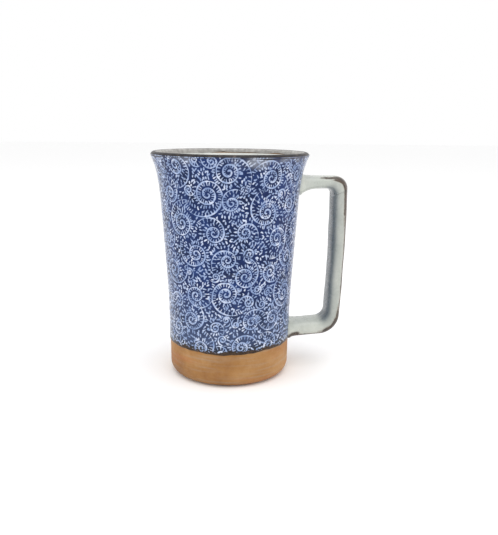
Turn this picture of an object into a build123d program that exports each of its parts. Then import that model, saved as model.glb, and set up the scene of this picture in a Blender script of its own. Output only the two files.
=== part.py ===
"""Tall flared stoneware mug: thrown body, applied strap handle, two slip joints and four fired glazes.

Millimetres, +Z up. The origin is on the mug's axis at the plane it stands on, and the handle points to +X.
"""

from build123d import *
import math
import os

# Overall sizes
HEIGHT = 120.0
GLAZE = 0.4
CLAY_HEIGHT = HEIGHT - GLAZE
WAIST_RADIUS = 32.5
LIP_RADIUS = 41.6

# Thrown wall, drawn as (share of the height, share of the flare from waist to lip)
FLARE_STATIONS = (
    (0.16, 0.01),
    (0.35, 0.055),
    (0.54, 0.2),
    (0.72, 0.355),
    (0.86, 0.51),
    (0.93, 0.675),
)
LIP_STEEPENING = 1.274
WALL = 3.6
LIP_WALL = 2.9
LIP_ROUNDING = 1.3
LIP_FULLNESS = 1.008
FLOOR_TOP = 8.5
INSIDE_ROUNDING = 9.0

# Turned foot
FOOT_ROUNDING = 6.0
FOOT_RING_WIDTH = 4.0
RECESS_DEPTH = 2.6

# Where each glaze stops
GLAZE_LINE = 18.8
LIP_BAND = 2.6

# Handle, seen from the side
HANDLE_BELOW_RIM = 13.0
HANDLE_TOP = HEIGHT - HANDLE_BELOW_RIM
HANDLE_FOOT = 18.7
HANDLE_PAST_LIP = 21.1
HANDLE_REACH = LIP_RADIUS + HANDLE_PAST_LIP
REACH_LOST_AT_FOOT = 2.3
OUTER_BOW = 0.9
INNER_BOW = 0.7
GRIP_THICKNESS = 7.6
TOP_ARM_THICKNESS = 5.9
FOOT_ARM_THICKNESS = 7.8
FOOT_ARM_RISE = 1.0
GRIP_FOOT_RISE = 1.6
GRIP_FOOT_THINNING = 0.5
HANDLE_WIDTH = 15.2
HANDLE_EDGE_ROUNDING = 2.5
OUTER_TOP_CORNER = 6.0
OUTER_FOOT_CORNER = 11.0
INNER_TOP_CORNER = 3.0
INNER_FOOT_CORNER = 5.0
ROOT_DEPTH = 2.0
ROOT_KEPT_SHARP = 0.5

# Slip that joins the handle to the wall
SLIP_BED = 0.5
BEAD_SPREAD = 1.4
BEAD_REACH = 3.2
BEAD_TIP = 0.25
BEAD_DEPTH = 6.0
BEAD_CORNER_SHARE = 0.9
LOWER_SLOPE = 0.06

# Worked out from the sizes above
BIG = 2.0 * HEIGHT
FLARE = LIP_RADIUS - WAIST_RADIUS
LAST_HEIGHT_SHARE, LAST_FLARE_SHARE = FLARE_STATIONS[-1]
LAST_RISE = CLAY_HEIGHT * (1.0 - LAST_HEIGHT_SHARE)
LIP_LEAN = LIP_STEEPENING * FLARE * (1.0 - LAST_FLARE_SHARE) / LAST_RISE
# A lip that leans out more, or a thinner one, has less width to round
WIDEST_ROUNDING = LIP_FULLNESS * (LIP_WALL / 2 + GLAZE) / math.hypot(1.0, LIP_LEAN) - GLAZE


def wall_points(inset_low, inset_high):
    """Points up the wall, moved towards the axis by an amount that changes evenly with height."""
    points = []
    for height_share, flare_share in FLARE_STATIONS:
        inset = inset_low + (inset_high - inset_low) * height_share
        points.append((WAIST_RADIUS + FLARE * flare_share - inset, CLAY_HEIGHT * height_share))
    return points


def wall_radius(height):
    """Clay radius at a height, read straight between two stations."""
    stations = [(0.0, WAIST_RADIUS)]
    stations += [(z, r) for r, z in wall_points(0.0, 0.0)]
    stations += [(CLAY_HEIGHT, LIP_RADIUS)]
    for (z0, r0), (z1, r1) in zip(stations[:-1], stations[1:]):
        if z0 <= height <= z1:
            return r0 + (r1 - r0) * (height - z0) / (z1 - z0)
    return LIP_RADIUS


# Body profile ---------------------------------------------------------------------------------------
foot_outer = WAIST_RADIUS - FOOT_ROUNDING
foot_inner = foot_outer - FOOT_RING_WIDTH
OUTER_TANGENTS = [(0, 1), (LIP_LEAN, 1)]
INNER_TANGENTS = [(-LIP_LEAN, -1), (0, -1)]


def cup_profile(grow):
    """Half section of the cup, with its wall and floor surfaces moved out of the clay by grow."""
    top = CLAY_HEIGHT + grow
    waist = WAIST_RADIUS + grow
    lip_outer = LIP_RADIUS + grow
    lip_inner = LIP_RADIUS - LIP_WALL - grow
    inside = WAIST_RADIUS - WALL - grow
    floor = FLOOR_TOP + grow
    inside_corner = (inside, floor + INSIDE_ROUNDING)
    outer_points = wall_points(-grow, -grow)
    inner_points = list(reversed(wall_points(WALL + grow, LIP_WALL + grow)))
    with BuildSketch(Plane.XZ) as profile:
        with BuildLine():
            Line((0, RECESS_DEPTH), (foot_inner, RECESS_DEPTH))
            Line((foot_inner, RECESS_DEPTH), (foot_inner, 0))
            Line((foot_inner, 0), (waist - FOOT_ROUNDING, 0))
            RadiusArc((waist - FOOT_ROUNDING, 0), (waist, FOOT_ROUNDING), -FOOT_ROUNDING)
            Spline([(waist, FOOT_ROUNDING), *outer_points, (lip_outer, top)], tangents=OUTER_TANGENTS)
            Line((lip_outer, top), (lip_inner, top))
            Spline([(lip_inner, top), *inner_points, inside_corner], tangents=INNER_TANGENTS)
            RadiusArc(inside_corner, (inside - INSIDE_ROUNDING, floor), INSIDE_ROUNDING)
            Line((inside - INSIDE_ROUNDING, floor), (0, floor))
            Line((0, floor), (0, RECESS_DEPTH))
        make_face()
        fillet(profile.vertices().sort_by(Axis.Y)[-2:], min(LIP_ROUNDING, WIDEST_ROUNDING) + grow)
    return profile.sketch


def filled_wall(grow):
    """The cup's outside as a solid with no hollow, used to trim what is put on the wall."""
    waist = WAIST_RADIUS + grow
    lip_outer = LIP_RADIUS + grow
    with BuildPart() as made:
        with BuildSketch(Plane.XZ):
            with BuildLine():
                Line((0, 0), (waist - FOOT_ROUNDING, 0))
                RadiusArc((waist - FOOT_ROUNDING, 0), (waist, FOOT_ROUNDING), -FOOT_ROUNDING)
                Spline(
                    [(waist, FOOT_ROUNDING), *wall_points(-grow, -grow), (lip_outer, CLAY_HEIGHT)],
                    tangents=OUTER_TANGENTS,
                )
                Line((lip_outer, CLAY_HEIGHT), (0, CLAY_HEIGHT))
                Line((0, CLAY_HEIGHT), (0, 0))
            make_face()
        revolve(axis=Axis.Z)
    return made.part


clay_profile = cup_profile(0.0)
glazed_profile = cup_profile(GLAZE)
solid_core = filled_wall(0.0)
bedded_core = filled_wall(SLIP_BED)

with BuildPart() as stoneware_body:
    add(clay_profile)
    revolve(axis=Axis.Z)


# Handle ---------------------------------------------------------------------------------------------
def handle_solid(grow):
    """The strap handle as one extruded loop, made larger all round by grow."""
    root = WAIST_RADIUS - ROOT_DEPTH
    foot_x = HANDLE_REACH - REACH_LOST_AT_FOOT
    foot_z = HANDLE_FOOT + FOOT_ARM_RISE
    middle = ((HANDLE_REACH + foot_x) / 2 + OUTER_BOW, (HANDLE_TOP + foot_z) / 2)
    grip_top = (HANDLE_REACH - GRIP_THICKNESS, HANDLE_TOP - TOP_ARM_THICKNESS)
    foot_arm_top = HANDLE_FOOT + FOOT_ARM_THICKNESS
    grip_foot = (foot_x - GRIP_THICKNESS + GRIP_FOOT_THINNING, foot_arm_top + GRIP_FOOT_RISE)
    grip_middle = (middle[0] - OUTER_BOW + INNER_BOW - GRIP_THICKNESS, middle[1])
    with BuildPart() as made:
        with BuildSketch(Plane.XZ) as side:
            with BuildLine():
                Line((root, HANDLE_TOP), (HANDLE_REACH, HANDLE_TOP))
                ThreePointArc((HANDLE_REACH, HANDLE_TOP), middle, (foot_x, foot_z))
                Line((foot_x, foot_z), (root, HANDLE_FOOT))
                Line((root, HANDLE_FOOT), (root, HANDLE_TOP))
            make_face()
            fillet(side.vertices().sort_by(Axis.X)[-1], OUTER_TOP_CORNER)
            foot_corner = side.vertices().sort_by_distance((foot_x, foot_z))[0]
            fillet(foot_corner, OUTER_FOOT_CORNER)
            with BuildSketch(Plane.XZ, mode=Mode.SUBTRACT) as opening:
                with BuildLine():
                    Line((root - 1, grip_top[1]), grip_top)
                    ThreePointArc(grip_top, grip_middle, grip_foot)
                    Line(grip_foot, (root - 1, foot_arm_top))
                    Line((root - 1, foot_arm_top), (root - 1, grip_top[1]))
                make_face()
                fillet(opening.vertices().sort_by_distance(grip_top)[0], INNER_TOP_CORNER)
                fillet(opening.vertices().sort_by_distance(grip_foot)[0], INNER_FOOT_CORNER)
            if grow:
                offset(amount=grow)
        extrude(amount=HANDLE_WIDTH / 2 + grow, both=True)
        sides = made.faces().sort_by(Axis.Y)
        rims = sides[0].edges() + sides[-1].edges()
        softened = [rim for rim in rims if rim.center().X > root + ROOT_KEPT_SHARP + grow]
        fillet(softened, HANDLE_EDGE_ROUNDING + grow)
    return made.part


def slip_collar(height, thickness, slope, grow):
    """A tapered collar of slip around one end of the handle, running out along the arm."""
    wall_x = wall_radius(height)
    direction = Vector(1, 0, slope).normalized()
    wall_point = Vector(wall_x, 0, height)
    near = Plane(origin=wall_point - direction * BEAD_DEPTH, x_dir=(0, 1, 0), z_dir=direction)
    far = Plane(origin=wall_point + direction * (BEAD_REACH + grow), x_dir=(0, 1, 0), z_dir=direction)
    steepness = (BEAD_SPREAD - BEAD_TIP) / BEAD_REACH
    near_spread = BEAD_SPREAD + steepness * BEAD_DEPTH + grow
    far_spread = BEAD_TIP + grow
    with BuildPart() as made:
        for plane, spread in ((near, near_spread), (far, far_spread)):
            with BuildSketch(plane):
                RectangleRounded(
                    HANDLE_WIDTH + 2 * spread,
                    thickness + 2 * spread,
                    HANDLE_EDGE_ROUNDING + spread * BEAD_CORNER_SHARE,
                )
        loft(ruled=True)
    return made.part


upper_height = HANDLE_TOP - TOP_ARM_THICKNESS / 2
lower_height = HANDLE_FOOT + FOOT_ARM_THICKNESS / 2

bare_handle = handle_solid(0.0)
glazed_handle = handle_solid(GLAZE)
upper_collar = slip_collar(upper_height, TOP_ARM_THICKNESS, 0.0, 0.0)
lower_collar = slip_collar(lower_height, FOOT_ARM_THICKNESS, LOWER_SLOPE, 0.0)
upper_glazed_collar = slip_collar(upper_height, TOP_ARM_THICKNESS, 0.0, GLAZE)
lower_glazed_collar = slip_collar(lower_height, FOOT_ARM_THICKNESS, LOWER_SLOPE, GLAZE)

with BuildPart() as handle:
    add(bare_handle)
    add(bedded_core, mode=Mode.SUBTRACT)

with BuildPart() as upper_luting_slip:
    add(upper_collar)
    add(solid_core, mode=Mode.SUBTRACT)
    add(handle.part, mode=Mode.SUBTRACT)

with BuildPart() as lower_luting_slip:
    add(lower_collar)
    add(solid_core, mode=Mode.SUBTRACT)
    add(handle.part, mode=Mode.SUBTRACT)

with BuildPart() as handle_and_slip_glazed:
    add(glazed_handle)
    add(upper_glazed_collar)
    add(lower_glazed_collar)

with BuildPart() as handle_glaze:
    add(handle_and_slip_glazed.part)
    add(solid_core, mode=Mode.SUBTRACT)
    add(handle.part, mode=Mode.SUBTRACT)
    add(upper_luting_slip.part, mode=Mode.SUBTRACT)
    add(lower_luting_slip.part, mode=Mode.SUBTRACT)


# Glazes on the body ---------------------------------------------------------------------------------
def glaze_ring(low, high, position):
    """The glaze between two heights: position 0 is the one nearest the axis and -1 the farthest out."""
    with BuildSketch(Plane.XZ) as skin:
        add(glazed_profile)
        add(clay_profile, mode=Mode.SUBTRACT)
        with Locations((BIG / 2, (low + high) / 2)):
            Rectangle(BIG, high - low, mode=Mode.INTERSECT)
    with BuildPart() as made:
        add(skin.sketch.faces().sort_by(Axis.X)[position])
        revolve(axis=Axis.Z)
    return made.part


lip_line = HEIGHT - LIP_BAND

with BuildPart() as outer_glaze:
    add(glaze_ring(GLAZE_LINE, lip_line, -1))
    add(handle_and_slip_glazed.part, mode=Mode.SUBTRACT)

with BuildPart() as rim_glaze:
    add(glaze_ring(lip_line, HEIGHT + GLAZE, 0))

with BuildPart() as liner_glaze:
    add(glaze_ring((RECESS_DEPTH + FLOOR_TOP) / 2, lip_line, 0))


# Labels and files -----------------------------------------------------------------------------------
stoneware_body.part.label = "stoneware_body"
handle.part.label = "handle"
upper_luting_slip.part.label = "upper_luting_slip"
lower_luting_slip.part.label = "lower_luting_slip"
outer_glaze.part.label = "outer_glaze"
rim_glaze.part.label = "rim_glaze"
liner_glaze.part.label = "liner_glaze"
handle_glaze.part.label = "handle_glaze"

os.makedirs("parts", exist_ok=True)
export_step(stoneware_body.part, "parts/stoneware_body.step")
export_step(handle.part, "parts/handle.step")
export_step(upper_luting_slip.part, "parts/upper_luting_slip.step")
export_step(lower_luting_slip.part, "parts/lower_luting_slip.step")
export_step(outer_glaze.part, "parts/outer_glaze.step")
export_step(rim_glaze.part, "parts/rim_glaze.step")
export_step(liner_glaze.part, "parts/liner_glaze.step")
export_step(handle_glaze.part, "parts/handle_glaze.step")
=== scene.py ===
"""Stoneware mug: blue glaze with white scrolls, iron-brown lip, pale liner, celadon handle, bare foot."""

import math

import bpy
import numpy as np
from mathutils import Matrix, Vector


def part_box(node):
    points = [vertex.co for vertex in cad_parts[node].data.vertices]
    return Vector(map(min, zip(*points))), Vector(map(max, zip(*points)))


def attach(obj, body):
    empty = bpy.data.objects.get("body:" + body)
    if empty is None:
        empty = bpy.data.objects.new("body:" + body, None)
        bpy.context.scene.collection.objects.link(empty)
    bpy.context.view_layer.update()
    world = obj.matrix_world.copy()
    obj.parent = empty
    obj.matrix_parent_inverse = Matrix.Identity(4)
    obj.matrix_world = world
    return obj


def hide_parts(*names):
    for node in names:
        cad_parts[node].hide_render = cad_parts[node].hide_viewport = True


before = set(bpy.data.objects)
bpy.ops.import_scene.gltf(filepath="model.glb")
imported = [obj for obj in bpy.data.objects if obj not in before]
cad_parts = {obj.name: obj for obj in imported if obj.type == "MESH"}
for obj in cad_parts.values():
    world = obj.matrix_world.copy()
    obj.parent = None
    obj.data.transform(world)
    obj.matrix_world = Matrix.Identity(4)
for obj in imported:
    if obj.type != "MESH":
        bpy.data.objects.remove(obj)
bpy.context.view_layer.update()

MM = 0.001
TWO_PI = 2.0 * math.pi
SEED = 7

# Sizes in millimetres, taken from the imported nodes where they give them
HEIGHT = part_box("rim_glaze")[1][2] / MM
GLAZE_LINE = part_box("outer_glaze")[0][2] / MM
LIP_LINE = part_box("outer_glaze")[1][2] / MM
HANDLE_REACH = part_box("handle_glaze")[1][0] / MM
GLAZE = 0.4
HANDLE_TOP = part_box("handle")[1][2] / MM + GLAZE
CLAY_HEIGHT = HEIGHT - GLAZE
WAIST_RADIUS = 32.5
LIP_RADIUS = 41.6
LIP_WALL = 2.9
LIP_ROUNDING = 1.3
WALL = 3.6
FOOT_ROUNDING = 6.0
FOOT_RING_WIDTH = 4.0
RECESS_DEPTH = 2.6
FLOOR_TOP = 8.5
INSIDE_ROUNDING = 9.0

# Share of the clay's height, and share of the flare reached there
FLARE_STATIONS = (
    (0.05, 0.0),
    (0.16, 0.01),
    (0.35, 0.055),
    (0.54, 0.2),
    (0.72, 0.355),
    (0.86, 0.51),
    (0.93, 0.675),
    (1.0, 1.0),
)

# Unevenness of the thrown wall: it grows in above the foot and dies away towards the axis
WOBBLE_RISE = 15.0
WOBBLE_AXIS_FADE = 20.0

# Turned pieces: columns round, and the rings of the floor from the wall in to the cap on the axis
LATHE_COLUMNS = 256
AXIS_CAP = 0.3
FLOOR_RINGS = (12.0, 5.0, AXIS_CAP)


# Shape helpers --------------------------------------------------------------------------------------
def wall_radius(height):
    """Clay radius of the outside wall at a height, as a smooth curve through the stations."""
    z = np.array([share for share, _ in FLARE_STATIONS]) * CLAY_HEIGHT
    r = WAIST_RADIUS + (LIP_RADIUS - WAIST_RADIUS) * np.array([share for _, share in FLARE_STATIONS])
    slope = np.gradient(r, z)
    slope[0] = 0.0
    height = np.clip(height, z[0], z[-1])
    k = np.clip(np.searchsorted(z, height) - 1, 0, len(z) - 2)
    step = z[k + 1] - z[k]
    t = (height - z[k]) / step
    a = (1 + 2 * t) * (1 - t) ** 2
    b = t * (1 - t) ** 2
    c = t * t * (3 - 2 * t)
    d = t * t * (t - 1)
    return a * r[k] + b * step * slope[k] + c * r[k + 1] + d * step * slope[k + 1]


def inside_wall(height):
    """Thickness of the clay wall at a height, thinner towards the lip."""
    return WALL + (LIP_WALL - WALL) * height / CLAY_HEIGHT


def glazed_radius(height):
    """Radius of the glazed outside wall at one height."""
    return float(wall_radius(height)) + GLAZE


def signed_turn(angle):
    """An angle brought between minus and plus half a turn."""
    return (angle + math.pi) % TWO_PI - math.pi


def thrown_wobble(theta, z):
    """Small unevenness of a hand-thrown wall, in millimetres."""
    slow = 0.10 * np.sin(2 * theta + 0.8) + 0.07 * np.sin(3 * theta + z / 23.0)
    rings = 0.035 * np.sin(z * TWO_PI / 5.3 + theta) + 0.02 * np.sin(z * TWO_PI / 2.9 - 2 * theta)
    return (slow + rings) * np.clip(z / WOBBLE_RISE, 0.0, 1.0)


def new_object(name, vertices, faces):
    """A mesh piece from millimetre vertices, riding on the mug's one body."""
    mesh = bpy.data.meshes.new(name)
    mesh.from_pydata((np.asarray(vertices) * MM).tolist(), [], faces)
    mesh.validate()
    mesh.update()
    mesh.polygons.foreach_set("use_smooth", [True] * len(mesh.polygons))
    piece = bpy.data.objects.new(name, mesh)
    bpy.context.scene.collection.objects.link(piece)
    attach(piece, "root")
    return piece


def ring_faces(rows, columns, closed_rows):
    """Quads of a grid that wraps round its columns, and round its rows when closed_rows is true."""
    count = rows if closed_rows else rows - 1
    j = np.arange(count)[:, None]
    i = np.arange(columns)[None, :]
    up = (j + 1) % rows
    right = (i + 1) % columns
    quads = np.stack(
        [
            np.broadcast_to(j * columns + i, (count, columns)),
            np.broadcast_to(j * columns + right, (count, columns)),
            up * columns + right,
            up * columns + i,
        ],
        axis=-1,
    )
    return quads.reshape(-1, 4)


def end_caps(rows, columns):
    """The two faces that close the first and the last row of a grid."""
    last = (rows - 1) * columns
    return [list(range(columns))[::-1], list(range(last, last + columns))]


def grid_vertices(radius, height, theta):
    """Vertices of a turned surface from arrays of radius, height and angle of the same shape."""
    x = radius * np.cos(theta)
    y = radius * np.sin(theta)
    return np.stack([x, y, height], axis=-1).reshape(-1, 3)


def lathe(name, profile):
    """A turned piece, from a profile that starts and ends near the axis and is capped there."""
    points = np.array(profile)
    theta = np.linspace(0, TWO_PI, LATHE_COLUMNS, endpoint=False)[None, :]
    radius = points[:, :1] * np.ones_like(theta)
    height = points[:, 1:] * np.ones_like(theta)
    angle = np.broadcast_to(theta, radius.shape)
    radius = radius + thrown_wobble(angle, height) * np.clip(radius / WOBBLE_AXIS_FADE, 0, 1)
    vertices = grid_vertices(radius, height, angle)
    faces = ring_faces(len(points), LATHE_COLUMNS, False).tolist() + end_caps(len(points), LATHE_COLUMNS)
    return new_object(name, vertices, faces)


def arc(cx, cz, radius, start, end, count):
    """Points on an arc, angles in degrees from +X towards +Z."""
    return [
        (cx + radius * math.cos(math.radians(a)), cz + radius * math.sin(math.radians(a)))
        for a in np.linspace(start, end, count)
    ]


def floor_points(height):
    """A flat floor at a height, from near its corner in to the axis."""
    return [(ring, height) for ring in FLOOR_RINGS]


def float_attribute(piece, name, values):
    """Store one number for each vertex, for a material to read."""
    layer = piece.data.attributes.new(name, "FLOAT", "POINT")
    layer.data.foreach_set("value", np.asarray(values, dtype=np.float32).ravel())


# Clay body ------------------------------------------------------------------------------------------
WALL_ROWS = 60
LIP_ROWS = 17
INSIDE_ROWS = 50
CORNER_ROWS = 12
FOOT_ROWS = 16
UNDER_LIP_OUTSIDE = 0.4
UNDER_LIP_INSIDE = 0.6
UNDERSIDE_RINGS = ((8.0, 0.0), (15.0, -0.05))
RECESS_CORNER = 0.9
RECESS_CORNER_START = (1.2, 0.1)
RECESS_CORNER_DROP = 1.0
FOOT_INNER_EDGE = ((0.02, 0.5), (0.18, 0.15), (0.5, 0.0))
FOOT_FLAT_END = 1.0
LINER_TOP = LIP_LINE + 0.6


def cup_points(grow):
    """Outside wall points from the foot to the lip, over it, and down the inside to the floor."""
    lip_outer = float(wall_radius(CLAY_HEIGHT - LIP_ROUNDING)) + grow
    lip_inner = lip_outer - LIP_WALL - 2 * grow
    rounding = (lip_outer - lip_inner) / 2
    lip_z = CLAY_HEIGHT + grow - rounding
    rises = np.linspace(FOOT_ROUNDING, lip_z - UNDER_LIP_OUTSIDE, WALL_ROWS)
    outside = [(float(wall_radius(z)) + grow, z) for z in rises]
    over = arc((lip_outer + lip_inner) / 2, lip_z, rounding, 0, 180, LIP_ROWS)
    falls = np.linspace(lip_z - UNDER_LIP_INSIDE, FLOOR_TOP + INSIDE_ROUNDING, INSIDE_ROWS)
    inside = [(float(wall_radius(z)) - inside_wall(z) - grow, z) for z in falls]
    corner = WAIST_RADIUS - WALL - INSIDE_ROUNDING - grow
    bottom = arc(corner, FLOOR_TOP + INSIDE_ROUNDING + grow, INSIDE_ROUNDING, 0, -90, CORNER_ROWS)
    return outside, over, inside, bottom


def underside_points():
    """From the axis out over the recess, down the foot ring's inner side and round its outer edge."""
    foot_outer = WAIST_RADIUS - FOOT_ROUNDING
    foot_inner = foot_outer - FOOT_RING_WIDTH
    inset, drop = RECESS_CORNER_START
    points = [(AXIS_CAP, RECESS_DEPTH)]
    points += [(ring, RECESS_DEPTH + sag) for ring, sag in UNDERSIDE_RINGS]
    points += [(foot_inner - inset, RECESS_DEPTH - drop)]
    points += arc(foot_inner - RECESS_CORNER, RECESS_DEPTH - RECESS_CORNER_DROP, RECESS_CORNER, 90, 0, 5)
    points += [(foot_inner + out, height) for out, height in FOOT_INNER_EDGE]
    points += [(foot_outer - FOOT_FLAT_END, 0.0)]
    return points + arc(foot_outer, FOOT_ROUNDING, FOOT_ROUNDING, -90, -4, FOOT_ROWS)


outside, over, clay_inside, clay_bottom = cup_points(0.0)
clay_profile = underside_points() + outside + over + clay_inside + clay_bottom + floor_points(FLOOR_TOP)
clay_body = lathe("clay_body", clay_profile)
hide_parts("stoneware_body")

# Liner glaze ----------------------------------------------------------------------------------------
_, _, liner_inside, liner_bottom = cup_points(GLAZE)
behind = [p for p in clay_inside if p[1] < LINER_TOP] + clay_bottom + floor_points(FLOOR_TOP)
front = [p for p in liner_inside if p[1] < LINER_TOP] + liner_bottom + floor_points(FLOOR_TOP + GLAZE)
liner = lathe("liner_coat", behind[::-1] + front)
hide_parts("liner_glaze")

# Iron-brown lip band --------------------------------------------------------------------------------
LIP_COLUMNS = 360
BAND_EDGE_ROWS = 9
BAND_OVER_ROWS = 17
BAND_BACK_ROWS = 13
BAND_EXTRA = 0.05
BAND_OUTSIDE_RISE = 0.75
BAND_INSIDE_RISE = 0.3
BAND_INSIDE_LIFT = 0.02
BAND_EDGE_ROLL = 2.5
LIP_ARC = (10, 170)
PALE_LIP_START = 0.2
PALE_LIP_WIDTH = 0.8


def rolled_edge(share):
    """How much of its thickness the band has, from its edge up."""
    return math.sqrt(1 - (1 - min(1.0, share * BAND_EDGE_ROLL + 0.02)) ** 2)


def lip_band():
    """The band over the lip, with an uneven lower edge outside and inside."""
    theta = np.linspace(0, TWO_PI, LIP_COLUMNS, endpoint=False)
    wave = 0.30 * np.sin(3 * theta + 1.0) + 0.22 * np.sin(7 * theta) + 0.16 * np.sin(13 * theta + 2.0)
    lip_outer = float(wall_radius(CLAY_HEIGHT - LIP_ROUNDING))
    lip_inner = lip_outer - LIP_WALL
    middle = (lip_outer + lip_inner) / 2
    rounding = (lip_outer - lip_inner) / 2
    lip_z = CLAY_HEIGHT - rounding
    coat = GLAZE + BAND_EXTRA
    rows = []
    for share in np.linspace(0, 1, BAND_EDGE_ROWS):
        z = LIP_LINE + BAND_OUTSIDE_RISE + wave + (lip_z - LIP_LINE - BAND_OUTSIDE_RISE - wave) * share
        rows.append((wall_radius(z) + coat * rolled_edge(share), z))
    for r, z in arc(middle, lip_z, rounding + coat, *LIP_ARC, BAND_OVER_ROWS):
        rows.append((np.full_like(theta, r), np.full_like(theta, z)))
    for share in np.linspace(1, 0, BAND_EDGE_ROWS):
        z = LIP_LINE + BAND_INSIDE_RISE - wave + (lip_z - LIP_LINE - BAND_INSIDE_RISE + wave) * share
        lift = coat * rolled_edge(share) + BAND_INSIDE_LIFT
        rows.append((wall_radius(z) - inside_wall(z) - lift, z))
    for r, z in arc(middle, lip_z, rounding - BAND_EXTRA, *LIP_ARC[::-1], BAND_BACK_ROWS):
        rows.append((np.full_like(theta, r), np.full_like(theta, z)))
    even_radius = np.array([r for r, _ in rows])
    height = np.array([z for _, z in rows])
    angle = np.broadcast_to(theta[None, :], even_radius.shape)
    radius = even_radius + thrown_wobble(angle, height)
    faces = ring_faces(len(rows), LIP_COLUMNS, True).tolist()
    piece = new_object("lip_band", grid_vertices(radius, height, angle), faces)
    # Paler over the lip's inner half: partly thin glaze, partly a painted highlight
    float_attribute(piece, "over_lip", np.clip((middle - PALE_LIP_START - even_radius) / PALE_LIP_WIDTH, 0, 1))
    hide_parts("rim_glaze")
    return piece


lip = lip_band()

# Scrolls on the outer glaze -------------------------------------------------------------------------
COLUMNS = 800
ROWS = 300
BACK_ROWS = 10
BACK_DEPTH = 0.06
EDGE_ROLL = 0.45
EDGE_BEAD = 0.10
EDGE_BEAD_HEIGHT = 0.7
EDGE_BEAD_SPREAD = 0.5
UNDER_BAND = 1.4
NO_PAINT = -3.0
STROKE_MARGIN = 1.1
LINE_WIDTH = 0.76
CORE_DOT = 0.45
OPENING = 1.15
COIL_TURNS = 1.25
TURN_GROWTH = 7.5
TAIL_TURNS = 0.40
TAIL_LIFT = 0.95
TOOTH_SPACING = 1.2
LINE_STEP = 0.45
SMALL_SCROLL = 2.3
CLEAR_RING = 0.42
LEAST_STEPS = 16.0
MEAN_RADIUS_SHARE = 0.7
TAIL_CURVE = 1.3
BARE_CORE = 1.5
TAIL_TOOTH_ROOM = 2.3
TOOTH_WIDTHS = (0.27, 0.24)
LEAF_STANDOFF = 1.2
LEAF_SPACING = 1.35
LEAF_CLEARANCE = 0.58
GAP_TRIES = 42000
GAP_CLEARANCE = 0.71
FRONT_CLOSENESS = 1.3
FILL_BELOW = 2.0
FILL_ABOVE = 1.0
WASH_ANGLE = math.radians(-73.0)
WASH_WIDTH = 9.0
WASH_HEIGHT = 5.0
WASH_BELOW_BAND = 2.5

# Scrolls tried round the rest of the wall: radius, number of tries, and how close two may stand
FILL_SCROLLS = ((6.8, 900, 1.22), (5.6, 1300, 1.18), (4.4, 1800, 1.16), (3.2, 2200, 1.25), (2.1, 1500, 1.5))

# The scrolls on the front: degrees round from the front towards the handle, height, radius of the
# coil, hand, and the direction in degrees in which the loose end of the line points
FRONT_SCROLLS = (
    (-3.5, 97.0, 4.2, 1, 40),
    (-7.5, 51.0, 6.6, -1, -51),
    (8.5, 60.0, 6.0, -1, 118),
    (-5.5, 112.0, 6.7, 1, -45),
    (-21.5, 101.0, 7.5, 1, 200),
    (-46.0, 86.0, 6.7, 1, 60),
    (-46.0, 114.5, 6.0, 1, -100),
    (25.0, 92.0, 6.2, 1, 100),
    (37.0, 78.5, 5.6, 1, -110),
    (27.0, 109.0, 6.0, -1, 170),
    (-6.5, 68.5, 4.6, -1, 215),
    (-17.0, 82.0, 5.1, -1, 150),
    (7.5, 82.5, 3.9, 1, -30),
    (-33.0, 71.0, 5.6, 1, 150),
    (-40.0, 36.0, 5.3, -1, 80),
    (-30.0, 21.5, 4.8, -1, 75),
    (6.0, 22.5, 4.8, 1, 3),
    (37.5, 36.5, 4.8, 1, 180),
    (52.0, 48.0, 7.3, 1, 65),
    (55.0, 110.0, 6.9, -1, 120),
    (34.0, 22.0, 4.3, -1, 130),
    (12.0, 46.5, 2.9, -1, 200),
    (-17.0, 33.0, 2.7, 1, -40),
    (20.0, 53.0, 2.6, 1, 100),
    (-37.0, 103.0, 2.4, -1, 20),
    (-17.0, 117.0, 2.8, 1, 160),
    (-60.0, 61.0, 6.5, -1, 40),
    (-58.0, 30.0, 4.3, 1, 90),
    (1.0, 35.0, 1.8, 1, 80),
    (-16.0, 60.0, 1.9, 1, 200),
    (6.0, 103.5, 2.0, -1, 60),
)


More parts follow.
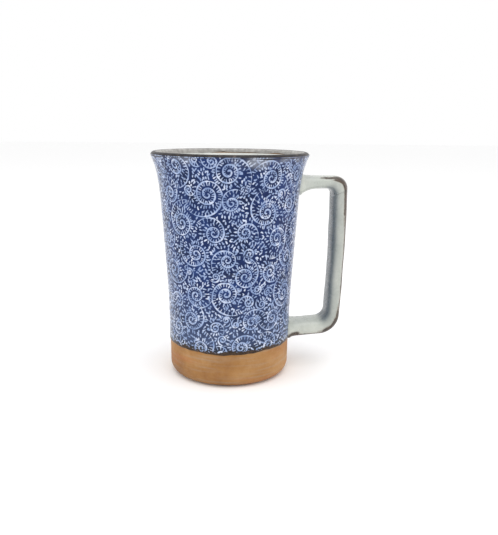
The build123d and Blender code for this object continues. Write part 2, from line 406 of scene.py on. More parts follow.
class ScrollField:
    """Signed distance, in millimetres, into the white brush strokes over the unrolled outer wall."""

    def __init__(self, theta, z, radius):
        self.theta = theta
        self.z = z
        self.radius = radius
        self.rows, self.columns = z.shape
        self.low = float(z.min())
        self.row_step = float(z.max() - z.min()) / (self.rows - 1)
        self.depth = np.full(z.shape, NO_PAINT)
        self.taken = np.zeros(z.shape, dtype=bool)

    def window(self, angle, height, reach):
        """Row and column numbers of the grid near a point."""
        row = int(round((height - self.low) / self.row_step))
        span = int(reach / self.row_step) + 4
        rows = np.arange(max(0, row - span), min(self.rows, row + span + 1))
        column = int(round(angle / TWO_PI * self.columns))
        across = int(reach / glazed_radius(height) / TWO_PI * self.columns) + 2
        columns = np.arange(column - across, column + across + 1) % self.columns
        return np.ix_(rows, columns)

    def offsets(self, cells, angle, height):
        """Millimetres round and up from a point to each cell."""
        return signed_turn(self.theta[cells] - angle) * self.radius[cells], self.z[cells] - height

    def stroke(self, angle, height, points, widths, free):
        """Paint a brush stroke whose points are millimetres round and up from its anchor."""
        local = glazed_radius(height)
        for k in range(len(points) - 1):
            p, q = points[k], points[k + 1]
            middle = ((p[0] + q[0]) / 2, (p[1] + q[1]) / 2)
            length = math.hypot(q[0] - p[0], q[1] - p[1])
            reach = length / 2 + max(widths[k], widths[k + 1]) + STROKE_MARGIN
            cells = self.window(angle + middle[0] / local, height + middle[1], reach)
            if cells[0].size == 0:
                continue
            x, y = self.offsets(cells, angle, height)
            ex, ey = q[0] - p[0], q[1] - p[1]
            along = np.clip(((x - p[0]) * ex + (y - p[1]) * ey) / max(length * length, 1e-9), 0, 1)
            gap = np.hypot(x - p[0] - along * ex, y - p[1] - along * ey)
            value = widths[k] + (widths[k + 1] - widths[k]) * along - gap
            value = np.where(free[cells], value, NO_PAINT)
            self.depth[cells] = np.maximum(self.depth[cells], value)

    def clearance(self, angle, height):
        """How far a point is from paint, and whether a scroll already owns it."""
        row = int(np.clip(round((height - self.low) / self.row_step), 0, self.rows - 1))
        column = int(round(angle / TWO_PI * self.columns)) % self.columns
        return -self.depth[row, column], bool(self.taken[row, column])


def coil_turns(size):
    """How many times a coil goes round. Larger ones go round more often."""
    return COIL_TURNS + size / TURN_GROWTH


def scroll_line(size, turns, hand, start):
    """Points of a coil from its loose end inwards, as (radius, angle), in even steps of angle."""
    steps = int(turns * max(LEAST_STEPS, TWO_PI * MEAN_RADIUS_SHARE * size / LINE_STEP))
    step_turns = turns / steps
    tail = int(TAIL_TURNS / step_turns)
    line = []
    for k in range(-tail, steps + 1):
        if k < 0:
            radius = size * (1.0 + TAIL_LIFT * (-k / tail) ** TAIL_CURVE)
        else:
            radius = CORE_DOT + (size - CORE_DOT) * (1.0 - k / steps) ** OPENING
        line.append((radius, start + hand * TWO_PI * (k + tail) * step_turns))
    return line, tail


def rim_of_coil(size, turns, hand, start, angle):
    """Radius of the outermost turn of a coil in a direction, its loose end left out."""
    first = start + hand * TWO_PI * TAIL_TURNS
    travelled = (hand * (angle - first)) % TWO_PI / TWO_PI
    return CORE_DOT + (size - CORE_DOT) * (1.0 - travelled / turns) ** OPENING


def paint_scroll(field, rng, angle, height, size, hand, start):
    """One toothed coil with a loose end. Ground owned by scrolls painted before is left alone."""
    free = ~field.taken
    turns = coil_turns(size)
    line, tail = scroll_line(size, turns, hand, start)
    points = [(radius * math.cos(a), radius * math.sin(a)) for radius, a in line]
    widths = []
    for k, (_, a) in enumerate(line):
        press = 0.5 * LINE_WIDTH * (0.95 + 0.2 * math.sin(2.0 * a + start))
        tapered = min(1.0, 0.3 + 0.7 * k / (0.4 * tail))
        widths.append(press * tapered)
    field.stroke(angle, height, points, widths, free)
    cells = field.window(angle, height, 2.0 * size + 1.0)
    dx, dy = field.offsets(cells, angle, height)
    rim = rim_of_coil(size, turns, hand, start, np.arctan2(dy, dx))
    owned = (np.hypot(dx, dy) < rim + CLEAR_RING) | ((field.depth[cells] > -0.3) & free[cells])
    travelled = 0.0
    for k in range(len(line) - 1):
        (x, y), (x1, y1) = points[k], points[k + 1]
        radius, a = line[k]
        travelled += math.hypot(x1 - x, y1 - y)
        if travelled < TOOTH_SPACING or radius < BARE_CORE or size < SMALL_SCROLL:
            continue
        travelled = 0.0
        if k < tail:
            room = TAIL_TOOTH_ROOM
        else:
            inner_share = max(0.0, 1.0 - (k - tail) / (len(line) - 1 - tail) - 1.0 / turns)
            within = CORE_DOT + (size - CORE_DOT) * inner_share ** OPENING
            room = radius - within - LINE_WIDTH
        tooth = max(0.5, room * rng.uniform(0.62, 0.86))
        lean = a + hand * rng.uniform(0.0, 0.3)
        tip = (x - tooth * math.cos(lean), y - tooth * math.sin(lean))
        field.stroke(angle, height, [(x, y), tip], TOOTH_WIDTHS, free)
    field.taken[cells] = field.taken[cells] | owned


def paint_leaves(field, rng, scrolls):
    """Short wedges that stand off the outer turn of every scroll and point away from its middle."""
    free = ~field.taken
    for angle, height, size, hand, start in scrolls:
        local = glazed_radius(height)
        turns = coil_turns(size)
        count = max(6, int(TWO_PI * (size + LEAF_STANDOFF) / LEAF_SPACING))
        for k in range(count):
            a = TWO_PI * (k + rng.uniform(-0.25, 0.25)) / count
            near = float(rim_of_coil(size, turns, hand, start, a)) + rng.uniform(0.8, 1.0)
            far = near + rng.uniform(0.7, 1.5)
            middle = (near + far) / 2
            clear, owned = field.clearance(
                angle + middle * math.cos(a) / local,
                height + middle * math.sin(a),
            )
            if owned or clear < LEAF_CLEARANCE:
                continue
            lean = a + rng.uniform(-0.35, 0.35)
            p = (near * math.cos(a), near * math.sin(a))
            q = (p[0] + (far - near) * math.cos(lean), p[1] + (far - near) * math.sin(lean))
            widths = [0.24, 0.44] if rng.random() < 0.5 else [0.44, 0.22]
            field.stroke(angle, height, [p, q], widths, free)


def paint_gaps(field, rng, scrolls, low, high):
    """Small wedges in the ground that is still empty, pointing at the nearest scroll."""
    free = ~field.taken
    centres = np.array([(a, z) for a, z, _, _, _ in scrolls])
    for _ in range(GAP_TRIES):
        angle = rng.uniform(0, TWO_PI)
        height = rng.uniform(low, high)
        clear, owned = field.clearance(angle, height)
        if owned or clear < GAP_CLEARANCE:
            continue
        local = glazed_radius(height)
        turn = signed_turn(centres[:, 0] - angle)
        nearest = int(np.argmin(np.hypot(turn * local, centres[:, 1] - height)))
        a = math.atan2(centres[nearest, 1] - height, turn[nearest] * local) + rng.uniform(-0.9, 0.9)
        reach = rng.uniform(0.35, 0.80)
        bend = rng.uniform(-0.25, 0.25)
        points = [
            (-reach * math.cos(a), -reach * math.sin(a)),
            (-bend * math.sin(a), bend * math.cos(a)),
            (reach * math.cos(a), reach * math.sin(a)),
        ]
        widths = [0.22, 0.38, 0.45] if rng.random() < 0.5 else [0.45, 0.36, 0.20]
        field.stroke(angle, height, points, widths, free)


def choose_scrolls(rng, low, high):
    """The front scrolls, then smaller and smaller ones wherever there is room round the rest."""
    chosen = [
        (math.radians(a - 90.0) % TWO_PI, z, size, hand, math.radians(start))
        for a, z, size, hand, start in FRONT_SCROLLS
    ]
    fixed = len(chosen)
    for size, tries, closeness in FILL_SCROLLS:
        for _ in range(tries):
            angle = rng.uniform(0, TWO_PI)
            height = rng.uniform(low - FILL_BELOW, high + FILL_ABOVE)
            radius = size * rng.uniform(0.88, 1.12)
            local = glazed_radius(height)
            clear = all(
                math.hypot(signed_turn(a - angle) * local, z - height)
                >= (other + radius) * (closeness if k >= fixed else FRONT_CLOSENESS)
                for k, (a, z, other, _, _) in enumerate(chosen)
            )
            if clear:
                hand = 1 if rng.random() < 0.5 else -1
                chosen.append((angle, height, radius, hand, rng.uniform(0, TWO_PI)))
    return chosen


def scroll_coat():
    """The outer glaze as a thin closed shell with a wavy rolled lower edge, carrying the scrolls."""
    rng = np.random.default_rng(SEED)
    theta = np.linspace(0, TWO_PI, COLUMNS, endpoint=False)
    low_edge = GLAZE_LINE + 0.28 * np.sin(2 * theta + 2.2) + 0.22 * np.sin(5 * theta + 0.5)
    low_edge += 0.12 * np.sin(11 * theta) + 0.09 * np.sin(23 * theta + 1.0) + 0.05 * np.sin(41 * theta)
    high_edge = np.full_like(theta, LIP_LINE + UNDER_BAND)
    share = np.linspace(0, 1, ROWS)[:, None]
    z = low_edge[None, :] + (high_edge - low_edge)[None, :] * share
    angle = np.broadcast_to(theta[None, :], z.shape)
    above = z - low_edge[None, :]
    rolled = np.sqrt(np.clip(1 - (1 - np.clip(above / EDGE_ROLL, 0, 1)) ** 2, 0, 1))
    bead = EDGE_BEAD * np.exp(-((above - EDGE_BEAD_HEIGHT) / EDGE_BEAD_SPREAD) ** 2)
    coat = GLAZE * rolled + bead
    radius = wall_radius(z) + coat + thrown_wobble(angle, z)
    back_share = np.linspace(1, 0, BACK_ROWS)[:, None]
    back_z = low_edge[None, :] + (high_edge - low_edge)[None, :] * back_share
    back_angle = np.broadcast_to(theta[None, :], back_z.shape)
    back_radius = wall_radius(back_z) - BACK_DEPTH + thrown_wobble(back_angle, back_z)
    all_radius = np.concatenate([radius, back_radius])
    all_z = np.concatenate([z, back_z])
    all_angle = np.concatenate([angle, back_angle])
    faces = ring_faces(ROWS + BACK_ROWS, COLUMNS, True).tolist()
    vertices = grid_vertices(all_radius, all_z, all_angle)
    piece = new_object("scroll_coat", vertices, faces)
    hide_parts("outer_glaze")

    field = ScrollField(angle, z, wall_radius(z) + GLAZE)
    scrolls = choose_scrolls(rng, GLAZE_LINE, LIP_LINE)
    for scroll in scrolls:
        paint_scroll(field, rng, *scroll)
    paint_leaves(field, rng, scrolls)
    paint_gaps(field, rng, scrolls, GLAZE_LINE, LIP_LINE)

    backing = np.full(back_z.shape, -1.0)
    float_attribute(piece, "scroll", np.concatenate([np.clip(field.depth, -1, 1), backing]))
    float_attribute(piece, "above_edge", np.concatenate([above, back_z - low_edge[None, :]]))
    float_attribute(piece, "height", all_z)
    across = signed_turn(all_angle - WASH_ANGLE) * LIP_RADIUS / WASH_WIDTH
    upward = (all_z - LIP_LINE + WASH_BELOW_BAND) / WASH_HEIGHT
    float_attribute(piece, "wash", np.exp(-(across ** 2) - upward ** 2))
    return piece


coat = scroll_coat()

# Handle glaze ---------------------------------------------------------------------------------------
HANDLE_WIDTH = 16.0
SECTION_POINTS = 56
SECTION_SQUARENESS = 2.8
ROOT_FLARE = 1.1
ROOT_FADE = 1.3
ROOT_SPREAD = 0.3
ROOT_SPREAD_FADE = 4.5
UNDERSIDE_DROP = 2.4
UNDERSIDE_FADE = 4.2
PATH_COUNTS = (44, 16, 60, 44)
CORE_INSET = 0.45
SLIP_INSET = 0.4
SLIP_ROWS = 14
SPOT_GLAZE_ANGLES = ((0, 34), (92, 74))
EDGE_ANGLES = ((20, 36), (70, 58))
WIDE_EDGE_ANGLES = ((6, 34), (86, 70))

# Where the glaze breaks on the handle: heights of its two arms, and strengths
UPPER_ARM_DEPTH = 9.0
LOWER_ARM_TOP = 33.0
EDGE_STRENGTH = 1.05
UPPER_STRENGTH = 1.45
LOWER_STRENGTH = 1.1
SPOT_STRENGTH = 1.5
FOOT_SPOT = (54.0, 5.0)
ROOT_SPOT = (35.0, 3.2)
UPPER_BREAK_END = 36.0
UPPER_BREAK_FULL = 8.0
LOWER_BREAK_START = HEIGHT * 0.27
LOWER_BREAK_RISE = 9.0

# Handle outline: depths below the top, depths in from the reach, and heights above the table
ROOT_SINK = 1.6
UPPER_ROOT_DEPTH = 3.0
LOWER_ROOT_HEIGHT = 22.0
OUTER_CORNER_RISE = 0.2
OUTER_FOOT_DEPTH = 2.4
OUTER_FOOT_HEIGHT = 19.6
OUTER_ROOT_HEIGHT = 18.4
OUTER_CORNERS = (6.6, 11.4)
OUTER_BOW = 0.9
INNER_ROOT_DEPTH = 6.7
INNER_CORNER_DEPTH = 6.6
GRIP_DEPTH = 8.3
GRIP_FOOT_DEPTH = 9.8
INNER_FOOT_HEIGHT = 28.8
INNER_ROOT_HEIGHT = 26.9
INNER_CORNERS = (3.2, 5.2)
INNER_BOW = 0.7
BOW_START = 44.0
BOW_FADE = 8.0


def rounded_path(points, radii, counts, bow):
    """Points along three straight runs joined by two rounded corners, the long run bowed outwards."""
    points = [np.array(p, dtype=float) for p in points]
    arcs = []
    for k, radius in ((1, radii[0]), (2, radii[1])):
        into = points[k - 1] - points[k]
        out = points[k + 1] - points[k]
        into /= np.linalg.norm(into)
        out /= np.linalg.norm(out)
        half = math.acos(float(np.clip(into @ out, -1, 1))) / 2
        cut = radius / math.tan(half)
        centre = points[k] + (into + out) / np.linalg.norm(into + out) * radius / math.sin(half)
        start = points[k] + into * cut
        end = points[k] + out * cut
        a0 = math.atan2(*(start - centre)[::-1])
        a1 = math.atan2(*(end - centre)[::-1])
        turns = [a0 + signed_turn(a1 - a0) * t for t in np.linspace(0, 1, counts[1])]
        arcs.append([centre + radius * np.array([math.cos(a), math.sin(a)]) for a in turns])
    first, second = arcs
    path = [points[0] + (first[0] - points[0]) * t for t in np.linspace(0, 1, counts[0], endpoint=False)]
    path += first
    path += [first[-1] + (second[0] - first[-1]) * t for t in np.linspace(0, 1, counts[2], endpoint=False)]
    path += second
    path += [second[-1] + (points[3] - second[-1]) * t for t in np.linspace(0, 1, counts[3] + 1)[1:]]
    path = np.array(path)
    low, high = points[2][1], points[1][1]
    rise = np.clip((path[:, 1] - low) / (high - low), 0, 1)
    grip = np.clip((path[:, 0] - BOW_START) / BOW_FADE, 0, 1)
    path[:, 0] += bow * np.sin(math.pi * rise) * grip
    return path


def handle_paths(shrink):
    """Outer and inner side curves of the handle, drawn in by shrink, in millimetres."""
    upper_root = float(wall_radius(HANDLE_TOP - UPPER_ROOT_DEPTH)) - ROOT_SINK
    lower_root = float(wall_radius(LOWER_ROOT_HEIGHT)) - ROOT_SINK
    reach = HANDLE_REACH
    top = HANDLE_TOP
    outer_points = (
        (upper_root, top - shrink),
        (reach - shrink, top + OUTER_CORNER_RISE - shrink),
        (reach - OUTER_FOOT_DEPTH - shrink, OUTER_FOOT_HEIGHT + shrink),
        (lower_root, OUTER_ROOT_HEIGHT + shrink),
    )
    inner_points = (
        (upper_root, top - INNER_ROOT_DEPTH + shrink),
        (reach - GRIP_DEPTH + shrink, top - INNER_CORNER_DEPTH + shrink),
        (reach - GRIP_FOOT_DEPTH + shrink, INNER_FOOT_HEIGHT - shrink),
        (lower_root, INNER_ROOT_HEIGHT - shrink),
    )
    outer = rounded_path(outer_points, OUTER_CORNERS, PATH_COUNTS, OUTER_BOW)
    inner = rounded_path(inner_points, INNER_CORNERS, PATH_COUNTS, INNER_BOW)
    upper_arm = inner[:, 1] > HEIGHT / 2
    from_wall = np.clip(inner[:, 0] - wall_radius(inner[:, 1]) - GLAZE, 0, 40)
    inner[:, 1] -= np.where(upper_arm, UNDERSIDE_DROP * np.exp(-((from_wall / UNDERSIDE_FADE) ** 1.5)), 0)
    return outer, inner


def soft_step(value, low, high):
    """Nought at low and one at high, with an easy start and end. Low may be the larger."""
    share = np.clip((value - low) / (high - low), 0, 1)
    return share * share * (3 - 2 * share)


def angle_off_outward(t):
    """Degrees round the handle's section, from the side that faces away from the cup."""
    return np.degrees(np.abs(signed_turn(t)))


def between(angle, rise, fall):
    """One between two angles, fading in over the rise and out over the fall."""
    return soft_step(angle, *rise) * soft_step(angle, *fall)


def spot(distance_out, place, spread):
    """One at a distance from the axis, fading out to both sides."""
    return math.exp(-((distance_out - place) / spread) ** 2)


def break_mask(t, centre):
    """Where the glaze runs thin over the handle: its outer corners, its foot corner and under its root."""
    round_angle = angle_off_outward(t)
    edge = between(round_angle, *EDGE_ANGLES)
    wide_edge = between(round_angle, *WIDE_EDGE_ANGLES)
    if centre[1] > HANDLE_TOP - UPPER_ARM_DEPTH:
        corner = soft_step(centre[0], 50.0, 57.0)
        along_arm = EDGE_STRENGTH * edge * soft_step(centre[0], 42, 50)
        return np.maximum(along_arm, UPPER_STRENGTH * wide_edge * corner)
    if centre[1] < LOWER_ARM_TOP:
        facing = between(round_angle, *SPOT_GLAZE_ANGLES)
        spots = max(spot(centre[0], *FOOT_SPOT), spot(centre[0], *ROOT_SPOT))
        return np.maximum(edge, facing * SPOT_STRENGTH * spots)
    below_top = HANDLE_TOP - centre[1] + 3.0 * np.sin(3.0 * t + 1.0)
    above_foot = centre[1] - LOWER_BREAK_START
    upper = UPPER_STRENGTH * wide_edge * soft_step(below_top, UPPER_BREAK_END, UPPER_BREAK_FULL)
    lower = LOWER_STRENGTH * wide_edge * soft_step(above_foot, LOWER_BREAK_RISE, 0.0)
    return np.maximum(EDGE_STRENGTH * edge, np.maximum(upper, lower))


def inner_face_shade_mask(t, centre):
    """The side of the grip that looks at the cup, where shade and a blue reflection of the cup are painted
    in.
    """
    on_grip = soft_step(centre[0], 50.0, 55.0)
    return soft_step(angle_off_outward(t), 82, 150) * on_grip


def handle_loft(name, shrink, body_slot, flared=True, rows=slice(None)):
    """A lofted loop, or a stretch of it, with soft corners and roots that flare onto the wall."""
    outer, inner = (side[rows] for side in handle_paths(shrink))
    middle = (outer + inner) / 2
    thickness = np.linalg.norm(outer - inner, axis=1)
    out_dir = (outer - inner) / thickness[:, None]
    wall_gap = np.clip(middle[:, 0] - wall_radius(middle[:, 1]) - GLAZE, 0, 30)
    flare = ROOT_FLARE * np.exp(-wall_gap / ROOT_FADE) + ROOT_SPREAD * np.exp(-wall_gap / ROOT_SPREAD_FADE)
    if not flared:
        flare = np.zeros_like(flare)
    steps = np.linalg.norm(np.diff(middle, axis=0), axis=1)
    travel = np.concatenate([[0], np.cumsum(steps)])
    t = np.linspace(0, TWO_PI, SECTION_POINTS, endpoint=False)
    power = 2.0 / SECTION_SQUARENESS
    u = np.sign(np.cos(t)) * np.abs(np.cos(t)) ** power
    v = np.sign(np.sin(t)) * np.abs(np.sin(t)) ** power
    vertices = []
    mask = []
    inward = []
    for k, centre in enumerate(middle):
        s = travel[k]
        uneven = 0.07 * np.sin(s / 6.0 + 2 * t + 1.0) + 0.05 * np.sin(s / 3.1 - 3 * t)
        across = (thickness[k] / 2 + flare[k] * 0.85 + uneven) * u
        side = (HANDLE_WIDTH / 2 - shrink + flare[k] + uneven) * v
        x = centre[0] + out_dir[k][0] * across
        z = centre[1] + out_dir[k][1] * across
        vertices.append(np.stack([x, side, z], axis=-1))
        mask.append(break_mask(t, centre))
        # Where shade and a blue reflection from the cup are painted on the grip's inner side
        inward.append(inner_face_shade_mask(t, centre))
    count = len(middle)
    faces = ring_faces(count, SECTION_POINTS, False).tolist() + end_caps(count, SECTION_POINTS)
    piece = new_object(name, np.array(vertices).reshape(-1, 3), faces)
    float_attribute(piece, "breaks", np.array(mask))
    float_attribute(piece, "inward", np.array(inward))
    # Painted light: the arms near the cup are marked to be painted paler, against the shade the cup casts
    # on them
    on_arm = soft_step(middle[:, :1], 57.0, 47.0)
    float_attribute(piece, "on_arm", np.broadcast_to(on_arm, (count, SECTION_POINTS)))
    return piece


handle_piece = handle_loft("handle_coat", 0.0, "celadon_glaze")
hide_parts("handle_glaze")
handle_core = handle_loft("handle_core", CORE_INSET, "handle_stoneware", flared=False)
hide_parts("handle")
upper_slip = handle_loft("upper_slip", SLIP_INSET, "luting_slip", rows=slice(0, SLIP_ROWS))
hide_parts("upper_luting_slip")
lower_slip = handle_loft("lower_slip", SLIP_INSET, "luting_slip", rows=slice(-SLIP_ROWS, None))
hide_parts("lower_luting_slip")


# Materials ------------------------------------------------------------------------------------------
class Shader:
    """Short names for building one node material."""

    def __init__(self, name):
        self.material = bpy.data.materials.new(name)
        self.material.use_nodes = True
        self.tree = self.material.node_tree
        self.surface = self.tree.nodes["Principled BSDF"]
        self.where = self.tree.nodes.new("ShaderNodeTexCoord").outputs["Object"]

    def link(self, output, socket):
        self.tree.links.new(output, socket)

    def noise(self, scale, detail=3.0, roughness=0.55):
        node = self.tree.nodes.new("ShaderNodeTexNoise")
        node.inputs["Scale"].default_value = scale
        node.inputs["Detail"].default_value = detail
        node.inputs["Roughness"].default_value = roughness
        self.link(self.where, node.inputs["Vector"])
        return node.outputs["Fac"]

    def wander(self, amount, scale, detail=3.0, roughness=0.55):
        """Noise about nought, to make an edge ragged."""
        middle = self.combine("SUBTRACT", self.noise(scale, detail, roughness), 0.5)
        return self.combine("MULTIPLY", middle, amount)

    def bands(self, scale, distortion):
        """Turning lines that run round the axis."""
        node = self.tree.nodes.new("ShaderNodeTexWave")
        node.wave_type = "BANDS"
        node.bands_direction = "Z"
        node.inputs["Scale"].default_value = scale
        node.inputs["Distortion"].default_value = distortion
        node.inputs["Detail"].default_value = 2.0
        self.link(self.where, node.inputs["Vector"])
        return node.outputs["Fac"]

    def stretched_noise(self, scale):
        """Noise drawn out round the axis, as a turning tool leaves it."""
        mapping = self.tree.nodes.new("ShaderNodeMapping")
        mapping.inputs["Scale"].default_value = scale
        self.link(self.where, mapping.inputs["Vector"])
        node = self.tree.nodes.new("ShaderNodeTexNoise")
        node.inputs["Scale"].default_value = 1.0
        node.inputs["Detail"].default_value = 4.0
        self.link(mapping.outputs["Vector"], node.inputs["Vector"])
        return node.outputs["Fac"]

    def attribute(self, name):
        node = self.tree.nodes.new("ShaderNodeAttribute")
        node.attribute_name = name
        return node.outputs["Fac"]

    def remap(self, value, low, high, to_low, to_high, smooth=False):
        node = self.tree.nodes.new("ShaderNodeMapRange")
        if smooth:
            node.interpolation_type = "SMOOTHSTEP"
        node.inputs["From Min"].default_value = low
        node.inputs["From Max"].default_value = high
        node.inputs["To Min"].default_value = to_low
        node.inputs["To Max"].default_value = to_high
        self.link(value, node.inputs["Value"])
        return node.outputs["Result"]

    def combine(self, kind, a, b):
        node = self.tree.nodes.new("ShaderNodeMath")
        node.operation = kind
        for socket, value in ((node.inputs[0], a), (node.inputs[1], b)):
            if isinstance(value, (int, float)):
                socket.default_value = value
            else:
                self.link(value, socket)
        return node.outputs[0]

    def ramp(self, value, stops):
        node = self.tree.nodes.new("ShaderNodeValToRGB")
        elements = node.color_ramp.elements
        while len(elements) < len(stops):
            elements.new(0.5)
        for element, (position, colour) in zip(elements, stops):
            element.position = position
            element.color = (*colour, 1.0)
        self.link(value, node.inputs["Fac"])
        return node.outputs["Color"]

    def shades(self, value, dark, light):
        """A ramp between two colours over the middle of a noise."""
        return self.ramp(value, ((0.3, dark), (0.7, light)))

    def mix(self, factor, a, b):
        node = self.tree.nodes.new("ShaderNodeMix")
        node.data_type = "RGBA"
        self.link(factor, node.inputs["Factor"])
        self.link(a, node.inputs[6])
        self.link(b, node.inputs[7])
        return node.outputs[2]

    def bump(self, height, distance, strength, after=None):
        node = self.tree.nodes.new("ShaderNodeBump")
        node.inputs["Distance"].default_value = distance
        node.inputs["Strength"].default_value = strength
        self.link(height, node.inputs["Height"])
        if after is not None:
            self.link(after, node.inputs["Normal"])
        return node.outputs["Normal"]

    def finish(self, colour, roughness, normal):
        self.link(colour, self.surface.inputs["Base Color"])
        self.link(roughness, self.surface.inputs["Roughness"])
        self.link(normal, self.surface.inputs["Normal"])
        return self.material


def bare_stoneware(name):
    """Matte orange-brown clay with grog, turning lines, pale streaks and toasted patches."""
    s = Shader(name)
    patches = s.noise(48.0, 4.0, 0.6)
    orange = ((0.3, (0.23, 0.095, 0.022)), (0.5, (0.34, 0.160, 0.042)), (0.7, (0.43, 0.235, 0.085)))
    colour = s.ramp(patches, orange)
    streaks = s.stretched_noise((40.0, 40.0, 620.0))
    ashy = s.shades(patches, (0.24, 0.15, 0.085), (0.42, 0.29, 0.18))
    colour = s.mix(s.remap(streaks, 0.5, 0.68, 0.0, 0.6), colour, ashy)
    toasted = s.stretched_noise((26.0, 26.0, 150.0))
    rust = s.shades(patches, (0.33, 0.10, 0.022), (0.44, 0.165, 0.045))
    colour = s.mix(s.remap(toasted, 0.52, 0.66, 0.0, 0.55), colour, rust)
    grit = s.remap(s.noise(2600.0, 2.0), 0.62, 0.72, 0.0, 0.5)
    colour = s.mix(grit, colour, s.shades(patches, (0.16, 0.07, 0.025), (0.22, 0.11, 0.045)))
    roughness = s.remap(s.noise(900.0), 0.3, 0.7, 0.55, 0.8)
    lines = s.bump(streaks, 0.00025, 0.6)
    normal = s.bump(s.noise(1500.0, 4.0), 0.0001, 0.45, lines)
    return s.finish(colour, roughness, normal)


def scroll_glaze():
    """White scrolls on cobalt under a soft gloss, brown at the lower edge and pale at the lip."""
    s = Shader("scroll_glaze")
    wander = s.wander(0.6, 650.0, 3.0)
    depth = s.combine("ADD", s.attribute("scroll"), wander)
    white = s.remap(depth, -0.09, 0.15, 0.0, 1.0, smooth=True)
    pooling = s.noise(120.0, 4.0, 0.6)
    blues = ((0.3, (0.002, 0.010, 0.045)), (0.52, (0.005, 0.019, 0.090)), (0.75, (0.016, 0.046, 0.175)))
    cobalt = s.ramp(pooling, blues)
    whites = ((0.3, (0.15, 0.225, 0.42)), (0.5, (0.31, 0.40, 0.61)), (0.66, (0.64, 0.70, 0.84)))
    chalk = s.ramp(s.noise(260.0, 4.0, 0.65), whites)
    greyed = s.shades(pooling, (0.022, 0.038, 0.090), (0.068, 0.094, 0.165))
    height = s.attribute("height")
    low_down = s.remap(height, 56.0, 24.0, 0.0, 0.75, smooth=True)
    ground = s.mix(low_down, cobalt, greyed)
    ragged = s.wander(-7.0, 230.0, 4.0)
    scorch = s.remap(s.combine("ADD", s.attribute("above_edge"), ragged), 1.5, 6.5, 0.9, 0.0, smooth=True)
    ground = s.mix(scorch, ground, s.shades(pooling, (0.014, 0.016, 0.020), (0.035, 0.034, 0.030)))
    colour = s.mix(white, ground, chalk)
    patchy = s.wander(2.2, 70.0, 5.0)
    worn = s.combine("ADD", s.remap(height, 106.0, 117.0, -0.1, 0.35), patchy)
    worn = s.combine("ADD", worn, s.combine("MULTIPLY", s.attribute("wash"), 0.42))
    worn = s.remap(worn, 0.22, 0.85, 0.0, 0.5, smooth=True)
    colour = s.mix(worn, colour, s.shades(pooling, (0.33, 0.36, 0.42), (0.52, 0.54, 0.56)))
    uneven = s.wander(-6.0, 190.0, 5.0, 0.65)
    edge = s.combine("ADD", s.attribute("above_edge"), uneven)
    burnt = s.remap(edge, 1.3, 2.3, 1.0, 0.0, smooth=True)
    colour = s.mix(burnt, colour, s.shades(s.noise(900.0), (0.020, 0.013, 0.010), (0.075, 0.045, 0.028)))
    roughness = s.remap(s.noise(330.0, 4.0), 0.3, 0.7, 0.24, 0.44)
    s.surface.inputs["Specular IOR Level"].default_value = 0.12
    s.surface.inputs["Coat Weight"].default_value = 0.6
    s.surface.inputs["Coat IOR"].default_value = 1.18
    s.surface.inputs["Coat Roughness"].default_value = 0.12
    raised = s.bump(white, 0.00010, 0.5)
    normal = s.bump(s.noise(240.0, 4.0), 0.00035, 0.35, raised)
    return s.finish(colour, roughness, normal)


def iron_rim():
    """Thin dark iron glaze that breaks lighter along the very edge, that lighter colour partly a painted
    highlight.
    """
    s = Shader("iron_rim_glaze")
    mottle = s.noise(420.0, 4.0)
    browns = ((0.35, (0.012, 0.011, 0.014)), (0.58, (0.032, 0.027, 0.027)), (0.76, (0.13, 0.10, 0.08)))
    colour = s.ramp(mottle, browns)
    # Pale grey over the lip's inner half: partly thin glaze, partly a painted highlight
    thin = s.ramp(mottle, ((0.35, (0.27, 0.26, 0.245)), (0.7, (0.46, 0.45, 0.43))))
    over = s.combine("ADD", s.attribute("over_lip"), s.wander(1.1, 160.0, 3.0))
    colour = s.mix(s.remap(over, 0.35, 0.75, 0.0, 1.0, smooth=True), colour, thin)
    roughness = s.remap(s.noise(260.0), 0.3, 0.7, 0.34, 0.5)
    s.surface.inputs["Specular IOR Level"].default_value = 0.2
    normal = s.bump(s.noise(500.0, 3.0), 0.00015, 0.4)
    return s.finish(colour, roughness, normal)


def liner_glaze():
    """Pale grey-green liner with faint rings and a few iron specks."""
    s = Shader("liner_glaze")
    cloud = s.noise(60.0, 4.0)
    colour = s.shades(cloud, (0.50, 0.52, 0.50), (0.62, 0.63, 0.60))
    specks = s.remap(s.noise(1100.0, 1.0), 0.73, 0.78, 0.0, 0.7)
    colour = s.mix(specks, colour, s.shades(cloud, (0.12, 0.09, 0.06), (0.22, 0.18, 0.12)))
    roughness = s.remap(s.noise(300.0), 0.3, 0.7, 0.18, 0.34)
    rings = s.bump(s.bands(60.0, 0.8), 0.0002, 0.3)
    normal = s.bump(s.noise(200.0, 3.0), 0.0003, 0.3, rings)
    return s.finish(colour, roughness, normal)


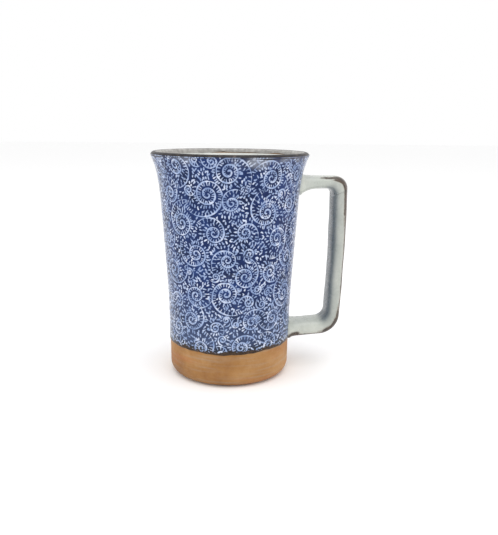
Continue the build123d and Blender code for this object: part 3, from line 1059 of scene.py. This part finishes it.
def celadon():
    """Pale grey-green celadon, thin and iron-brown where it breaks over the handle's edges, with painted
    shade on the grip's inner side and painted light on its arms.
    """
    s = Shader("celadon_glaze")
    cloud = s.noise(95.0, 4.0)
    greens = ((0.3, (0.33, 0.355, 0.325)), (0.55, (0.40, 0.42, 0.385)), (0.75, (0.47, 0.485, 0.44)))
    colour = s.ramp(cloud, greens)
    # Painted light: paler colour on the arms, against the shade the cup casts on them
    painted_arm_light = s.shades(cloud, (0.50, 0.53, 0.475), (0.63, 0.65, 0.585))
    colour = s.mix(s.remap(s.attribute("on_arm"), 0.0, 1.0, 0.0, 0.8), colour, painted_arm_light)
    # Painted shade and painted blue reflection of the cup, on the grip's inner side
    painted_inner_shade = s.shades(cloud, (0.095, 0.12, 0.14), (0.15, 0.175, 0.19))
    colour = s.mix(s.remap(s.attribute("inward"), 0.0, 1.0, 0.0, 0.85), colour, painted_inner_shade)
    wander = s.wander(1.7, 230.0, 5.0, 0.65)
    breaks = s.combine("ADD", s.attribute("breaks"), wander)
    halo = s.remap(breaks, 0.25, 0.8, 0.0, 0.8, smooth=True)
    colour = s.mix(halo, colour, s.shades(cloud, (0.15, 0.14, 0.115), (0.26, 0.235, 0.19)))
    core = s.remap(breaks, 0.72, 1.0, 0.0, 0.92, smooth=True)
    colour = s.mix(core, colour, s.shades(s.noise(600.0), (0.018, 0.014, 0.011), (0.075, 0.045, 0.028)))
    specks = s.remap(s.noise(1300.0, 1.0), 0.74, 0.79, 0.0, 0.6)
    colour = s.mix(specks, colour, s.shades(cloud, (0.16, 0.13, 0.09), (0.26, 0.21, 0.15)))
    roughness = s.remap(s.noise(330.0, 4.0), 0.3, 0.7, 0.2, 0.38)
    normal = s.bump(s.noise(180.0, 4.0), 0.0004, 0.35)
    return s.finish(colour, roughness, normal)


def wear(piece, material):
    """Give a piece one material."""
    piece.data.materials.clear()
    piece.data.materials.append(material)


clay = bare_stoneware("bare_stoneware")
wear(clay_body, clay)
wear(liner, liner_glaze())
wear(lip, iron_rim())
wear(coat, scroll_glaze())
wear(handle_piece, celadon())
wear(handle_core, clay)
wear(upper_slip, clay)
wear(lower_slip, clay)


# Floor, light and camera ----------------------------------------------------------------------------
FLOOR_HALF = 4.0
CAMERA_DISTANCE = 0.3406
CAMERA_ABOVE_RIM = 0.0146
CAMERA_AZIMUTH = math.radians(-4.5)
CAMERA_PITCH = math.radians(12.78)
CAMERA_YAW = math.radians(1.78)
CAMERA_ROLL = math.radians(0.69)
CAMERA_LENS = 42.83
SENSOR_WIDTH = 36.0


def add_floor():
    """A plain near-white floor that only the studio shows."""
    mesh = bpy.data.meshes.new("studio_floor")
    corners = [(x * FLOOR_HALF, y * FLOOR_HALF, 0) for x, y in ((-1, -1), (1, -1), (1, 1), (-1, 1))]
    mesh.from_pydata(corners, [], [(0, 1, 2, 3)])
    floor_piece = bpy.data.objects.new("studio_floor", mesh)
    bpy.context.scene.collection.objects.link(floor_piece)
    material = bpy.data.materials.new("studio_floor")
    material.use_nodes = True
    surface = material.node_tree.nodes["Principled BSDF"]
    surface.inputs["Base Color"].default_value = (0.97, 0.97, 0.97, 1)
    surface.inputs["Roughness"].default_value = 0.9
    surface.inputs["Specular IOR Level"].default_value = 0.1
    mesh.materials.append(material)


def add_light(name, place, target, size, power, colour=(1, 1, 1)):
    """A rectangular lamp that faces its target."""
    data = bpy.data.lights.new(name, "AREA")
    data.shape = "RECTANGLE"
    data.size, data.size_y = size
    data.energy = power
    data.color = colour
    lamp = bpy.data.objects.new(name, data)
    lamp.location = place
    lamp.rotation_euler = (Vector(target) - Vector(place)).to_track_quat("-Z", "Y").to_euler()
    bpy.context.scene.collection.objects.link(lamp)


def add_world():
    """Even white light from all round."""
    world = bpy.data.worlds.new("studio")
    world.use_nodes = True
    background = world.node_tree.nodes["Background"]
    background.inputs["Color"].default_value = (1.0, 1.0, 1.0, 1)
    background.inputs["Strength"].default_value = 1.0
    bpy.context.scene.world = world


def add_camera():
    """A normal lens a little above the rim, looking down at the mug's middle."""
    eye = Vector((
        CAMERA_DISTANCE * math.sin(CAMERA_AZIMUTH),
        -CAMERA_DISTANCE * math.cos(CAMERA_AZIMUTH),
        HEIGHT * MM + CAMERA_ABOVE_RIM,
    ))
    yaw = CAMERA_YAW - CAMERA_AZIMUTH
    level = math.cos(CAMERA_PITCH)
    forward = Vector((math.sin(yaw) * level, math.cos(yaw) * level, -math.sin(CAMERA_PITCH)))
    right = Vector((math.cos(yaw), -math.sin(yaw), 0.0))
    up = right.cross(forward)
    turned_right = right * math.cos(CAMERA_ROLL) + up * math.sin(CAMERA_ROLL)
    turned_up = -right * math.sin(CAMERA_ROLL) + up * math.cos(CAMERA_ROLL)
    data = bpy.data.cameras.new("camera")
    data.lens = CAMERA_LENS
    data.sensor_width = SENSOR_WIDTH
    camera = bpy.data.objects.new("camera", data)
    camera.matrix_world = Matrix((
        (turned_right.x, turned_up.x, -forward.x, eye.x),
        (turned_right.y, turned_up.y, -forward.y, eye.y),
        (turned_right.z, turned_up.z, -forward.z, eye.z),
        (0, 0, 0, 1),
    ))
    bpy.context.scene.collection.objects.link(camera)
    bpy.context.scene.camera = camera


add_floor()
add_world()
aim = (0.0, 0.0, 0.06)
add_light("left_softbox", (-0.75, -0.25, 0.55), aim, (0.6, 0.9), 0.9)
add_light("top_softbox", (0.1, -0.3, 1.0), aim, (0.9, 0.9), 4.0)
add_light("right_strip", (0.80, 0.12, 0.16), (0.0, 0.0, 0.09), (0.04, 0.42), 0.8, (1.0, 0.74, 0.74))
add_camera()
bpy.context.scene.view_settings.view_transform = "Standard"
